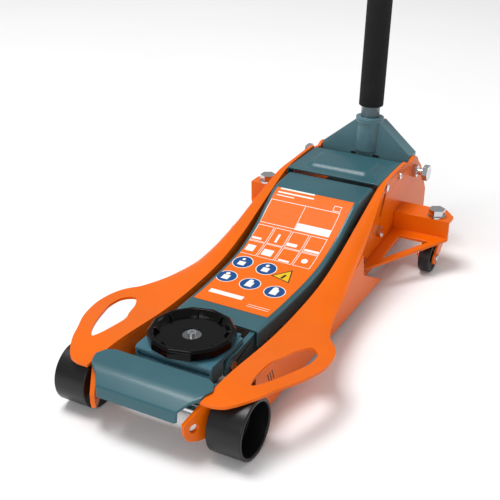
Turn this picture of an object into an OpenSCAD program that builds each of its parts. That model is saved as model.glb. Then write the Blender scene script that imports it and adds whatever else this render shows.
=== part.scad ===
// Low-profile trolley jack: a wheeled hydraulic car jack with a lift arm,
// a level saddle, a twin-plunger pump and a pumping handle.
// X points forward, Y to the jack's left and Z up. Millimetres.

/* [Chassis] */
// Distance from the front axle back to the rear end of the side plates
chassis_l = 736; // [720:1:900]
// Clear width between the two side plates
inside_w = 164; // [160:1:200]
// Thickness of a side plate
plate_t = 6; // [4:0.5:7]
// Height of the lower edge of the skirts above the floor
ground_gap = 15; // [12:1:20]
// Height of the chassis top where it is low, behind the front axle
low_top_z = 74; // [72:1:80]
// Height of the chassis top at the rear
high_top_z = 157; // [152:1:165]
// Thickness of the wing pressings
wing_t = 4; // [3:0.5:5]
// Reach of a wing outside its side plate at its widest
wing_reach = 88; // [78:1:95]
// Distance of a skirt's outer face from the side plate's outer face
skirt_reach = 24.5; // [20:0.5:30]

/* [Front rollers] */
// Radius of a front roller
roller_r = 40; // [36:1:42]
// Width of a front roller
roller_w = 48; // [36:1:56]
// Radius of the front axle
front_axle_r = 8; // [6:0.5:10]

/* [Casters] */
// Radius of a caster wheel
caster_r = 25; // [20:1:26]
// Width of a caster wheel
caster_w = 19; // [14:1:22]
// Distance from a side plate's outer face to the caster's swivel axis
caster_reach = 69; // [66:1:80]
// Distance of the wheel axle ahead of the swivel axis
caster_trail = 26; // [16:1:28]
// Radius of the swivel bolt's shank
kingpin_r = 8; // [6:0.5:9]

/* [Lift arm] */
// Height of the arm's pivot
arm_pivot_z = 80; // [78:1:84]
// Radius of the arm's pivot shaft
arm_shaft_r = 12; // [9:0.5:14]
// Height of the saddle carrier's pivot
nose_z = 60; // [58:1:63]
// Radius of the pins at the nose of the arm
nose_pin_r = 7; // [5:0.5:8]
// Distance between the arm's pivots and those of the level link, along X and down
link_offset = 30; // [28:1:32]
// Radius of the crank that the ram drives
crank_r = 40; // [36:1:42]
// Furthest angle that the arm lifts to
lift_angle = 58; // [40:1:60]
// Half width of the arm cover at the front
cover_front_half = 65; // [62:0.5:68]
// Half width of the arm cover at the rear
cover_rear_half = 76; // [72:0.5:77]

/* [Saddle] */
// Diameter of the saddle
saddle_d = 113; // [100:1:130]
// Height of the saddle's rim with the arm down
saddle_z = 100; // [98:1:106]
// Depth of the saddle's dish
saddle_dish = 8; // [5:0.5:9]

/* [Handle] */
// Height of the handle's pivot
handle_pivot_z = 130; // [126:1:134]
// Backward lean of the handle at rest
handle_lean = 4.1; // [0:0.1:10]
// Length of the handle from its pivot to its top
handle_l = 1020; // [800:10:1300]
// Outer radius of the handle tube
handle_r = 16; // [13:0.5:18]
// Length of the foam sleeve
sleeve_l = 280; // [200:5:400]
// Radius of the foam sleeve
sleeve_r = 21; // [19:0.5:24]
// Length of the grip at the top
grip_l = 140; // [110:5:180]
// Radius of the arc on which the pump rollers swing
pump_r = 26; // [22:0.5:28]

/* [Hydraulics] */
// Height of the ram's axis
ram_z = 42.5; // [41:0.5:44]
// Radius of the ram
ram_r = 10; // [8:0.5:12]
// Radius of the ram's piston
piston_r = 15; // [13:0.5:16]
// Radius of a pump plunger
plunger_r = 8; // [6:0.5:9]

/* [Hidden] */
$fn = 64;

// Running clearance of a turning or sliding fit, on the radius
run_gap = 0.05;
// Clearance between pieces that pass each other
clear = 0.5;
// A little more than nothing, so that cuts pass right through
eps = 1;

orange = "darkorange";
teal = "cadetblue";
dark = "dimgray";
chrome = "silver";

// Lateral places
plate_in = inside_w / 2;
plate_out = plate_in + plate_t;
roller_in = plate_out + 1;
roller_out = roller_in + roller_w;
skirt_out = plate_out + skirt_reach;
caster_y = plate_out + caster_reach;
link_in = 64;
link_t = 5;
arm_in = 52;
arm_t = 8;
arm_out = arm_in + arm_t;

// Places behind the front axle, as X
rear_x = -chassis_l;
handle_x = rear_x + 74;
arm_x = rear_x + 254;
gap_x = rear_x + 223;
cover_end_x = rear_x + 116;
caster_x = rear_x + 146;
nose_x = -80;
anchor_x = arm_x + link_offset;
anchor_z = arm_pivot_z - link_offset;
crank_x = arm_x - crank_r * sin(lift_angle / 2);
crank_z = arm_pivot_z - crank_r * cos(lift_angle / 2);
crank_stroke = 2 * crank_r * sin(lift_angle / 2);

// The origin is under the middle of the whole object
ear_l = 41;
ear_turn = 28;
ear_bend_x = 17;
ear_hole_r = 6;
front_cover_front = 54;
lip_t = 1;
front_end_x = max(ear_bend_x + ear_l * cos(ear_turn), front_cover_front + lip_t);
grip_top_r = handle_r + 4;
handle_end_x = handle_x - handle_l * sin(handle_lean) - grip_top_r * cos(handle_lean);
rear_end_x = min(rear_x, handle_end_x);
front_x = -(front_end_x + rear_end_x) / 2;

// ---------- curves ----------

function clamp(v, lo, hi) = max(lo, min(hi, v));
function piece(pts, x, i = 0) = (i >= len(pts) - 2 || x <= pts[i + 1][0]) ? i : piece(pts, x, i + 1);
function rise(p, q) = (q[1] - p[1]) / (q[0] - p[0]);
function slope(pts, i) =
  i == 0 ? rise(pts[0], pts[1]) :
  i == len(pts) - 1 ? rise(pts[i - 1], pts[i]) :
  (rise(pts[i - 1], pts[i]) + rise(pts[i], pts[i + 1])) / 2;
function hermite(a, b, sa, sb, h, t) =
  a * (1 + 2 * t) * pow(1 - t, 2) + sa * h * t * pow(1 - t, 2) +
  b * (3 - 2 * t) * t * t + sb * h * t * t * (t - 1);
// Smooth curve through the points [x, value]
function along(pts, x) =
  let (
    i = piece(pts, x),
    h = pts[i + 1][0] - pts[i][0],
    t = clamp((x - pts[i][0]) / h, 0, 1)
  )
  hermite(pts[i][1], pts[i + 1][1], slope(pts, i), slope(pts, i + 1), h, t);
function steps(from, to, count) = [for (i = [0:count]) from + (to - from) * i / count];

// Chassis top against distance behind the front axle: it passes over the rollers, dips and rises to the rear
roller_clear = 1;
front_top_z = 2 * roller_r + roller_clear + wing_t;
rise_z = high_top_z - low_top_z;
top_curve = [
  [-40, front_top_z], [0, front_top_z], [22, front_top_z], [149, low_top_z],
  [-gap_x - 275, low_top_z + 1], [-gap_x - 213, low_top_z + 0.09 * rise_z],
  [-gap_x - 157, low_top_z + 0.27 * rise_z], [-gap_x - 83, low_top_z + 0.60 * rise_z],
  [-gap_x - 34, low_top_z + 0.83 * rise_z], [-gap_x - 5, low_top_z + 0.95 * rise_z],
  [-gap_x + 22, high_top_z], [chassis_l, high_top_z]
];
function top_z(back) = along(top_curve, back);

// Outer edge of a wing against distance behind the front axle
widest = plate_out + wing_reach;
wing_edge = [
  [-37, plate_out + 10], [-33, plate_out + 21], [-26, plate_out + 29], [-13, plate_out + 39],
  [7, plate_out + 51], [28, widest - 28], [60, widest - 13], [86, widest - 5], [105, widest - 1],
  [118, widest], [137, widest - 1], [155, widest - 6], [167, widest - 13], [178, widest - 23],
  [190, widest - 30], [204, widest - 35], [228, widest - 42], [-gap_x - 231, plate_out + 36],
  [-gap_x - 173, plate_out + 27], [-gap_x - 137, plate_out + 23], [-gap_x - 89, plate_out + 17],
  [-gap_x - 33, plate_out + 9], [-gap_x + 17, plate_out + 1], [-gap_x + 120, plate_out]
];
function wing_y(back) = along(wing_edge, back);
edge_drop = 9;
function wing_drop(back) = edge_drop * clamp((back - 190) / 100, 0, 1) * clamp((-gap_x - back) / 120, 0, 1);
// Height of a wing's top face at a fraction of the way out
function wing_z(back, out) = top_z(back) - wing_drop(back) * pow(out, 3);

// Arm cover's top face against distance behind the front axle
cover_front_back = 139;
cover_rear_back = -gap_x - 7;
cover_curve = [
  [cover_front_back, 82], [229, 81], [-gap_x - 184, high_top_z - 67], [-gap_x - 131, high_top_z - 48],
  [-gap_x - 92, high_top_z - 26], [-gap_x - 62, high_top_z - 10], [-gap_x - 45, high_top_z - 7],
  [cover_rear_back, high_top_z - 5]
];
function cover_z(back) = along(cover_curve, back);

// ---------- helpers ----------

// Moves a piece from the front axle's frame to the part's own frame
module jack() {
  translate([front_x, 0, 0]) children();
}

module on_side(side) {
  if (side > 0) children();
  else mirror([0, 1, 0]) children();
}

// Extrudes a profile drawn in X and Z from y_from to y_to
module across(y_from, y_to) {
  translate([0, y_to, 0]) rotate([90, 0, 0]) linear_extrude(y_to - y_from) children();
}

module rod_y(x, z, r, y_from, y_to) {
  translate([x, y_to, z]) rotate([90, 0, 0]) cylinder(r = r, h = y_to - y_from);
}

module rod_x(x_from, x_to, y, z, r) {
  translate([x_from, y, z]) rotate([0, 90, 0]) cylinder(r = r, h = x_to - x_from);
}

module hex_y(x, z, flats, y_from, y_to) {
  translate([x, y_to, z]) rotate([90, 0, 0]) cylinder(d = flats / cos(30), h = y_to - y_from, $fn = 6);
}

module box(from, to) {
  translate(from) cube(to - from);
}

// Flat bar with round ends, a little slimmer between them, through two points of a profile
waist = 0.96;
module bar(p, q, r) {
  run = q - p;
  translate(p) circle(r);
  translate(q) circle(r);
  translate(p) rotate(atan2(run[1], run[0])) translate([0, -waist * r]) square([norm(run), 2 * waist * r]);
}

// ---------- chassis ----------

plate_bottom = ground_gap + 3;
ear_low_z = 25;
ear_high_z = front_top_z - wing_t;
ear_hole_z = 47;
ear_hole_in = 14;
ear_step = 1;
socket_ear_r = 25;
slot_r = 5;
block_bolt_x = arm_x - 24;
block_bolt_r = 5;
socket_bolt_r = 6;
screw_r = 3;
screw_x = [cover_end_x + 30, gap_x - 18];
screw_z = high_top_z - 11;

// Stations along a wing, closer together at its rounded front
wing_front = -37;
wing_stations = 44;
wing_across = 8;
function wing_back(i) = wing_front + (-cover_end_x - wing_front) * pow(i / wing_stations, 1.6);
// Height of a wing's underside over the outer face of the side plate
function seat_z(back) = wing_z(back, (plate_out - plate_in) / (wing_y(back) - plate_in)) - wing_t;
weld_gap = 0.3;

module plate_profile() {
  top = [
    [ear_bend_x, ear_high_z - weld_gap],
    for (i = [0:wing_stations]) let (back = wing_back(i))
      if (back > -ear_bend_x + 2) [-back, seat_z(back) - weld_gap]
  ];
  polygon(concat(
    [[ear_bend_x, ear_low_z], [ear_bend_x - 20, plate_bottom]],
    [[rear_x + 18, plate_bottom], [rear_x + 2, plate_bottom + 8], [rear_x, plate_bottom + 52]],
    [[rear_x + 34, handle_pivot_z - 4], [handle_x - socket_ear_r + 4, handle_pivot_z + 12]],
    [[handle_x, handle_pivot_z + 18], [cover_end_x - 6, high_top_z - wing_t]],
    [for (i = [len(top) - 1:-1:0]) top[i]]
  ));
  translate([handle_x, handle_pivot_z]) circle(socket_ear_r);
}

module side_plate(side) {
  color(orange) jack() on_side(side) {
    difference() {
      across(plate_in, plate_out) plate_profile();
      rod_y(0, roller_r, front_axle_r, plate_in - eps, plate_out + eps);
      rod_y(handle_x, handle_pivot_z, socket_bolt_r, plate_in - eps, plate_out + eps);
      rod_y(block_bolt_x, arm_pivot_z, block_bolt_r, plate_in - eps, plate_out + eps);
      for (x = screw_x) rod_y(x, screw_z, screw_r, plate_in - eps, plate_out + eps);
      rod_y(anchor_x, anchor_z, nose_pin_r, plate_in - eps, plate_out + eps);
      across(plate_in - eps, plate_out + eps)
        bar([arm_x - 29, arm_pivot_z + 26], [arm_x - 45, arm_pivot_z + 54], slot_r);
    }
    translate([ear_bend_x, plate_out, 0]) rotate([0, 0, -ear_turn]) difference() {
      across(-plate_t, 0) polygon([
        [0, ear_low_z + ear_step], [ear_l - 19, ear_low_z + ear_step],
        [ear_l - 5, ear_low_z + 6], [ear_l, ear_low_z + 16], [ear_l, ear_hole_z + 8],
        [ear_bend_x / 2, ear_high_z - weld_gap - ear_step], [0, ear_high_z - weld_gap - ear_step]
      ]);
      rod_y(ear_l - ear_hole_in, ear_hole_z, ear_hole_r, -plate_t - eps, eps);
    }
  }
}

// Grid of points that closes a thin curved sheet
function wing_point(i, j, under) =
  let (
    back = wing_back(i),
    out = j / wing_across,
    y = plate_in + (wing_y(back) - plate_in) * out
  )
  [-back, y, wing_z(back, out) - under * wing_t];
module wing_sheet() {
  row = wing_across + 1;
  layer = row * (wing_stations + 1);
  function at(i, j, under) = under * layer + i * row + j;
  points = [
    for (under = [0, 1]) for (i = [0:wing_stations]) for (j = [0:wing_across]) wing_point(i, j, under)
  ];
  // Two triangles for the four-sided patch a, b, c, d
  function patch(a, b, c, d) = [[a, b, c], [a, c, d]];
  faces = [
    for (i = [0:wing_stations - 1]) for (j = [0:wing_across - 1]) each concat(
      patch(at(i, j, 0), at(i + 1, j, 0), at(i + 1, j + 1, 0), at(i, j + 1, 0)),
      patch(at(i, j, 1), at(i, j + 1, 1), at(i + 1, j + 1, 1), at(i + 1, j, 1))
    ),
    for (i = [0:wing_stations - 1]) each concat(
      patch(at(i, 0, 0), at(i, 0, 1), at(i + 1, 0, 1), at(i + 1, 0, 0)),
      patch(
        at(i, wing_across, 0), at(i + 1, wing_across, 0),
        at(i + 1, wing_across, 1), at(i, wing_across, 1)
      )
    ),
    for (j = [0:wing_across - 1]) each concat(
      patch(at(0, j, 0), at(0, j + 1, 0), at(0, j + 1, 1), at(0, j, 1)),
      patch(
        at(wing_stations, j, 0), at(wing_stations, j, 1),
        at(wing_stations, j + 1, 1), at(wing_stations, j + 1, 0)
      )
    )
  ];
  polyhedron(points = points, faces = faces);
}

// Outline of the carrying hole in a wing, as distance back and distance in from the widest place
hole_outer = [[22, 57], [30, 50], [45, 42], [65, 34], [90, 26], [110, 21], [130, 21], [141, 26]];
hole_inner = [[148, 36], [144, 42], [128, 51], [104, 58], [88, 64], [70, 65], [40, 63], [26, 60]];
module hand_hole() {
  points = [for (p = concat(hole_outer, hole_inner)) [-p[0], widest - p[1]]];
  linear_extrude(high_top_z) polygon(points);
}

skirt_t = 4;
skirt_front = 60;
skirt_rear = -gap_x - 43;
skirt_step = -gap_x - 129;
skirt_step_z = ground_gap + 48;
function skirt_top(back) =
  let (out = clamp((skirt_out - skirt_t / 2 - plate_in) / (wing_y(back) - plate_in), 0, 1))
  wing_z(back, out) - wing_t / 2;
module wing(side) {
  color(orange) jack() on_side(side) {
    difference() {
      wing_sheet();
      hand_hole();
    }
    top = [for (b = steps(skirt_front, skirt_step, 16)) [-b, skirt_top(b)]];
    across(skirt_out - skirt_t, skirt_out) polygon(concat(
      [[-skirt_front, ground_gap], [-skirt_rear, ground_gap], [-skirt_step, skirt_step_z]],
      [for (i = [len(top) - 1:-1:0]) top[i]]
    ));
    across(plate_out, skirt_out - skirt_t / 2) polygon([
      [-skirt_rear, ground_gap], [-skirt_rear, ground_gap + 5],
      [-skirt_step, skirt_step_z], [-skirt_step + 4, skirt_step_z - 3], [-skirt_rear + 9, ground_gap]
    ]);
  }
}

front_cover_back = -6;
front_cover_t = 3;
front_cover_z = front_top_z + weld_gap + front_cover_t;
front_cover_bend = 26;
lip_z = front_cover_z - 16;
lip_h = 16;
front_axle_top = roller_r + front_axle_r;
module front_cover() {
  color(teal) jack() {
    intersection() {
      across(-plate_out, plate_out) polygon([
        [front_cover_back, front_cover_z], [front_cover_bend, front_cover_z],
        [front_cover_front - 2, lip_z + 1], [front_cover_front, lip_z - 2],
        [front_cover_front + lip_t, lip_z - lip_h],
        [front_cover_front + lip_t - front_cover_t, lip_z - lip_h],
        [front_cover_front - front_cover_t, lip_z - 2], [front_cover_bend - 1, front_cover_z - front_cover_t],
        [front_cover_back, front_cover_z - front_cover_t]
      ]);
      linear_extrude(high_top_z) polygon(concat(cover_corners, cover_mirror));
    }
    for (side = [-1, 1]) on_side(side) box(
      [front_cover_back, plate_in - 4, front_axle_top + 2],
      [ear_bend_x - 8, plate_in - weld_gap, front_cover_z - front_cover_t]
    );
  }
}
// Outline of the front cover seen from above, from the rear corner to the lip
cover_corners = [
  [front_cover_back, plate_in - 13], [0, plate_in - 2], [14, plate_in + 4],
  [front_cover_bend + 5, plate_in - 2],
  [front_cover_front - 14, plate_in - 14], [front_cover_front + 2, plate_in - 26]
];
cover_mirror = [for (i = [len(cover_corners) - 1:-1:0]) [cover_corners[i][0], -cover_corners[i][1]]];

axle_end = roller_out - 22;
module front_axle() {
  color(chrome) jack() rod_y(0, roller_r, front_axle_r - run_gap, -axle_end, axle_end);
}

roller_wall = 5;
module roller(side) {
  color(dark) jack() on_side(side) difference() {
    rod_y(0, roller_r, roller_r, roller_in, roller_out);
    rod_y(0, roller_r, roller_r - roller_wall, roller_in + 20, roller_out + eps);
    rod_y(0, roller_r, front_axle_r, roller_in - eps, roller_out);
  }
}

module axle_rings() {
  color(chrome) jack() for (side = [-1, 1]) on_side(side) difference() {
    rod_y(0, roller_r, front_axle_r + 5, roller_in + 20 + clear, roller_in + 23);
    rod_y(0, roller_r, front_axle_r - run_gap, roller_in + 19, roller_in + 24);
  }
}

cover_t = 3;
boss_l = 66;
boss_half = 58;
boss_r = 14;
boss_h = 6.5;
boss_sink = 0.5;
module rear_cover() {
  half = plate_in - 0.2;
  color(teal) jack() {
    difference() {
      box([cover_end_x, -half, high_top_z - 18], [gap_x, half, high_top_z]);
      box(
        [cover_end_x - eps, -half + cover_t, high_top_z - 19],
        [gap_x + eps, half - cover_t, high_top_z - cover_t]
      );
      for (side = [-1, 1]) on_side(side) for (x = screw_x)
        rod_y(x, screw_z, screw_r, half - cover_t - eps, half + eps);
    }
    translate([(cover_end_x + gap_x) / 2, 0, high_top_z - boss_sink]) hull()
      for (x = [-1, 1]) for (y = [-1, 1]) translate([x * (boss_l / 2 - boss_r), y * (boss_half - boss_r), 0])
        cylinder(r1 = boss_r, r2 = boss_r - boss_h, h = boss_h, $fn = 32);
  }
}

module cover_screws() {
  color(chrome) jack() for (side = [-1, 1]) on_side(side) for (x = screw_x) {
    rod_y(x, screw_z, screw_r - run_gap, plate_in - 8, plate_out);
    rod_y(x, screw_z, screw_r + 2.5, plate_out, plate_out + 3);
  }
}

base_t = 5;
base_bolt_xy = [[rear_x + 62, 34], [rear_x + 120, 34]];
module base_plate() {
  color(orange) jack() difference() {
    box([rear_x + 8, -plate_in, plate_bottom], [rear_x + 138, plate_in, plate_bottom + base_t]);
    for (side = [-1, 1]) for (p = base_bolt_xy)
      translate([p[0], side * p[1], 0]) cylinder(r = 5, h = plate_bottom + base_t + eps);
  }
}

module base_bolts() {
  color(chrome) jack() for (side = [-1, 1]) for (p = base_bolt_xy)
    translate([p[0], side * p[1], plate_bottom]) {
      cylinder(r = 5 - run_gap, h = base_t + 14);
      translate([0, 0, -6]) cylinder(d = 16 / cos(30), h = 6, $fn = 6);
    }
}

module rear_spacer() {
  color(orange) jack() difference() {
    rod_y(rear_x + 22, 58, 11, -plate_in, plate_in);
    rod_y(rear_x + 22, 58, 8, -plate_in - eps, plate_in + eps);
  }
}

block_in = plate_in - 12;
module pivot_block(side) {
  color(orange) jack() on_side(side) difference() {
    box([arm_x - 38, block_in, arm_pivot_z - 16], [arm_x + 18, plate_in, arm_pivot_z + 16]);
    rod_y(arm_x, arm_pivot_z, arm_shaft_r, block_in - eps, plate_in - 2);
    rod_y(block_bolt_x, arm_pivot_z, block_bolt_r, block_in - eps, plate_in + eps);
  }
}

module pivot_block_bolts() {
  color(chrome) jack() for (side = [-1, 1]) on_side(side) {
    rod_y(block_bolt_x, arm_pivot_z, block_bolt_r - run_gap, block_in, plate_out);
    hex_y(block_bolt_x, arm_pivot_z, 16, plate_out, plate_out + 7);
  }
}

module arm_shaft() {
  color(chrome) jack() rod_y(arm_x, arm_pivot_z, arm_shaft_r - run_gap, -plate_in + 3, plate_in - 3);
}

module link_anchors() {
  color(chrome) jack() for (side = [-1, 1]) on_side(side)
    rod_y(anchor_x, anchor_z, nose_pin_r - run_gap, link_in - 2, plate_out);
}

// ---------- casters ----------

bracket_top_z = 88;
bracket_t = 5;
bracket_front = caster_x + 15;
bracket_rear = caster_x - 31;
bracket_out = caster_y + 26;
sleeve_wall = 5;
brace_tip = anchor_x + 24;
brace_low_z = 43;
brace_high_z = 58;
bracket_low_z = brace_high_z - bracket_t;
module brace_plan(inset) {
  polygon([
    [brace_tip - 2.6 * inset, plate_out + inset], [bracket_front + inset, plate_out + inset],
    [bracket_front + inset, bracket_out - 1.3 * inset]
  ]);
}
module caster_bracket(side) {
  brace_run = brace_tip - bracket_front;
  color(orange) jack() on_side(side) {
    difference() {
      translate([0, 0, bracket_top_z - bracket_t]) linear_extrude(bracket_t) polygon([
        [bracket_front, plate_out], [bracket_front, bracket_out], [caster_x - 10, bracket_out],
        [bracket_rear, bracket_out - 18], [bracket_rear, plate_out]
      ]);
      translate([caster_x, caster_y, 0]) cylinder(r = kingpin_r, h = high_top_z);
    }
    translate([caster_x, caster_y, bracket_low_z]) difference() {
      cylinder(r = kingpin_r + sleeve_wall, h = bracket_top_z - bracket_t - bracket_low_z);
      translate([0, 0, -eps]) cylinder(r = kingpin_r, h = high_top_z);
    }
    box([bracket_front - bracket_t, plate_out, bracket_low_z], [bracket_front, bracket_out, bracket_top_z]);
    box([bracket_rear, plate_out, brace_high_z], [bracket_rear + bracket_t, bracket_out - 30, bracket_top_z]);
    intersection() {
      difference() {
        linear_extrude(high_top_z) brace_plan(0);
        translate([0, 0, -eps]) linear_extrude(high_top_z + 2 * eps) brace_plan(19);
      }
      across(plate_out - eps, bracket_out + eps) polygon([
        [bracket_front, brace_high_z], [brace_tip, brace_low_z],
        [brace_tip, brace_low_z - bracket_t], [bracket_front, bracket_low_z]
      ]);
    }
  }
}

fork_top = bracket_low_z - clear;
fork_plate_t = 4;
kingpin_foot = fork_top - fork_plate_t - clear;
foot_h = 2.5;
washer_h = 3;
module kingpins() {
  color(chrome) jack() for (side = [-1, 1]) translate([caster_x, side * caster_y, 0]) {
    translate([0, 0, kingpin_foot - foot_h]) cylinder(r = kingpin_r + 2, h = foot_h);
    translate([0, 0, kingpin_foot - 1])
      cylinder(r = kingpin_r - run_gap, h = bracket_top_z + 1 - kingpin_foot + washer_h);
    translate([0, 0, bracket_top_z]) cylinder(r = kingpin_r + 7, h = washer_h);
    translate([0, 0, bracket_top_z + washer_h]) cylinder(d = 24 / cos(30), h = 10, $fn = 6);
  }
}

fork_t = 3.5;
caster_axle_r = 4;
caster_axle_x = caster_x + caster_trail;
fork_half = caster_w / 2 + 1;
fork_out = fork_half + fork_t;
module caster_fork(side) {
  color(orange) jack() on_side(side) translate([0, caster_y, 0]) difference() {
    union() {
      box(
        [caster_x - fork_out, -fork_out, fork_top - fork_plate_t],
        [caster_x + fork_out, fork_out, fork_top]
      );
      for (s = [-1, 1]) on_side(s) {
        across(fork_half, fork_out) polygon([
          [caster_x - fork_out, fork_top], [caster_x + fork_out, fork_top],
          [caster_axle_x + 11, caster_r + 2], [caster_axle_x - 11, caster_r - 1],
          [caster_x - fork_out, fork_top - 9]
        ]);
        rod_y(caster_axle_x, caster_r, 11, fork_half, fork_out);
      }
    }
    translate([caster_x, 0, 0]) cylinder(r = kingpin_r, h = high_top_z);
    rod_y(caster_axle_x, caster_r, caster_axle_r, -fork_out - eps, fork_out + eps);
  }
}

module caster_axle(side) {
  reach = caster_w / 2 + 1 + fork_t;
  color(chrome) jack() on_side(side) {
    rod_y(caster_axle_x, caster_r, caster_axle_r - run_gap, caster_y - reach, caster_y + reach);
    hex_y(caster_axle_x, caster_r, 12, caster_y + reach, caster_y + reach + 3.5);
    hex_y(caster_axle_x, caster_r, 12, caster_y - reach - 3.5, caster_y - reach);
  }
}

module caster_wheel(side) {
  half = caster_w / 2;
  color(dark) jack() on_side(side) difference() {
    rod_y(caster_axle_x, caster_r, caster_r, caster_y - half, caster_y + half);
    rod_y(caster_axle_x, caster_r, caster_axle_r, caster_y - caster_w, caster_y + caster_w);
    for (s = [-1, 1]) difference() {
      rod_y(caster_axle_x, caster_r, caster_r - 6, caster_y + s * half - 2, caster_y + s * half + 2);
      rod_y(caster_axle_x, caster_r, 9, caster_y - caster_w, caster_y + caster_w);
    }
  }
}

// ---------- lift arm ----------

cover_steps = 24;
function cover_line(lower, from, to, count) = [for (b = steps(from, to, count)) [-b, cover_z(b) - lower]];
module cover_band(upper, lower, from, to) {
  top = cover_line(upper, from, to, cover_steps);
  low = cover_line(lower, from, to, cover_steps);
  across(-plate_in, plate_in) polygon(concat(top, [for (i = [len(low) - 1:-1:0]) low[i]]));
}
module cover_plan(inset) {
  front = cover_front_half - inset;
  rear = cover_rear_half - inset;
  linear_extrude(high_top_z + 10) polygon([
    [-cover_front_back, -front], [-cover_rear_back, -rear],
    [-cover_rear_back, rear], [-cover_front_back, front]
  ]);
}
arm_flange = 26;
module arm_cover() {
  color(teal) jack() {
    intersection() {
      cover_band(0, cover_t, cover_front_back, cover_rear_back);
      cover_plan(0);
    }
    intersection() {
      cover_band(cover_t / 2, arm_flange, cover_front_back, cover_rear_back);
      difference() {
        cover_plan(0);
        translate([0, 0, -eps]) scale([1, 1, 1.1]) cover_plan(cover_t);
      }
    }
  }
}

label_front = 176;
label_rear = -gap_x - 62;
label_t = 0.6;
module arm_label() {
  front = cover_front_half - 6;
  rear = cover_rear_half - 11;
  color("orangered") jack() intersection() {
    cover_band(-label_t, 0, cover_front_back, cover_rear_back);
    linear_extrude(high_top_z + 10) polygon([
      [-label_front, -front], [-label_rear, -rear], [-label_rear, rear], [-label_front, front]
    ]);
  }
}

module arm_profile() {
  line = cover_line(cover_t, cover_front_back, cover_rear_back, cover_steps);
  top = [for (p = line) if (p[0] < -cover_front_back - 11 && p[0] > -cover_rear_back + 10) p];
  polygon(concat(
    [for (i = [len(top) - 1:-1:0]) top[i]],
    [[nose_x + 6, nose_z + 14], [nose_x, nose_z - 15], [anchor_x + 40, anchor_z + 8]],
    [[arm_x + 8, arm_pivot_z - 24], [arm_x - 24, arm_pivot_z]]
  ));
}
nose_r = 16;
arm_end_r = 26;
module arm_side(side) {
  color(teal) jack() on_side(side) difference() {
    union() {
      across(arm_in, arm_out) arm_profile();
      rod_y(nose_x, nose_z, nose_r, arm_in, arm_out);
      rod_y(arm_x, arm_pivot_z, arm_end_r, arm_in, arm_out);
    }
    rod_y(arm_x, arm_pivot_z, arm_shaft_r, arm_in - eps, arm_out + eps);
    rod_y(nose_x, nose_z, nose_pin_r, arm_in - eps, arm_out + eps);
  }
}

hub_r = 20;
lobe_in = 18;
lobe_t = 9;
crank_pin_r = 8;
module arm_crank() {
  color(teal) jack() difference() {
    union() {
      rod_y(arm_x, arm_pivot_z, hub_r, -arm_in, arm_in);
      for (side = [-1, 1]) on_side(side) across(lobe_in, lobe_in + lobe_t)
        bar([arm_x, arm_pivot_z], [crank_x, crank_z], 15);
    }
    rod_y(arm_x, arm_pivot_z, arm_shaft_r, -arm_in - eps, arm_in + eps);
    rod_y(crank_x, crank_z, crank_pin_r, -lobe_in - lobe_t - eps, lobe_in + lobe_t + eps);
  }
}

module crank_pin() {
  half = lobe_in + lobe_t + 2;
  color(chrome) jack() rod_y(crank_x, crank_z, crank_pin_r - run_gap, -half, half);
}

module nose_pin() {
  color(chrome) jack() rod_y(nose_x, nose_z, nose_pin_r - run_gap, -arm_out - 2, arm_out + 2);
}

// ---------- saddle ----------

carrier_half = arm_in - 2;
carrier_head_half = 57;
carrier_slot_r = 4.5;
carrier_front = nose_x + 49;
carrier_rear = nose_x - 40;
saddle_x = nose_x + 2;
saddle_low = saddle_z - 14;
stud_r = 6;
stud_l = saddle_low - nose_z - nose_pin_r - 2;
carrier_top = saddle_low - 2;
carrier_slot_z = carrier_top - 10;
link_pin_x = nose_x + link_offset;
link_pin_z = nose_z - link_offset;
module saddle_carrier() {
  color(teal) jack() difference() {
    union() {
      across(-carrier_half, carrier_half) polygon([
        [carrier_front - 3, carrier_top], [carrier_front, carrier_top - 3], [carrier_front, carrier_top - 14],
        [nose_x + 26, nose_z - 6], [nose_x - 14, nose_z - 14], [nose_x - 30, nose_z + 4],
        [carrier_rear, carrier_top - 8], [carrier_rear, carrier_top]
      ]);
      across(-carrier_head_half, carrier_head_half) polygon([
        [carrier_front - 3, carrier_top], [carrier_front, carrier_top - 3], [carrier_front, carrier_top - 20],
        [nose_x + nose_r + 8, carrier_top - 26], [nose_x + nose_r + 3, carrier_top - 20],
        [nose_x + nose_r + 3, nose_z + nose_r + 1.5], [carrier_rear + 8, nose_z + nose_r + 1.5],
        [carrier_rear + 8, carrier_top]
      ]);
      for (side = [-1, 1]) on_side(side) across(30, 42) bar([nose_x, nose_z], [link_pin_x, link_pin_z], 12);
      translate([saddle_x, 0, carrier_top - eps])
        cylinder(r = 34, h = saddle_low - clear - carrier_top + eps);
    }
    rod_y(nose_x, nose_z, nose_pin_r, -carrier_half - eps, carrier_half + eps);
    rod_y(link_pin_x, link_pin_z, nose_pin_r, -carrier_half, carrier_half);
    box(
      [carrier_front - 5, -carrier_half, carrier_slot_z - carrier_slot_r],
      [carrier_front + eps, carrier_half, carrier_slot_z + carrier_slot_r]
    );
    for (side = [-1, 1])
      rod_x(carrier_front - 5, carrier_front + eps, side * carrier_half, carrier_slot_z, carrier_slot_r);
    translate([saddle_x, 0, saddle_low - stud_l - clear]) cylinder(r = stud_r, h = 2 * stud_l);
  }
}

module link_pin() {
  half = link_in + link_t + 3;
  color(chrome) jack() rod_y(link_pin_x, link_pin_z, nose_pin_r - run_gap, -half, half);
}

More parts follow.
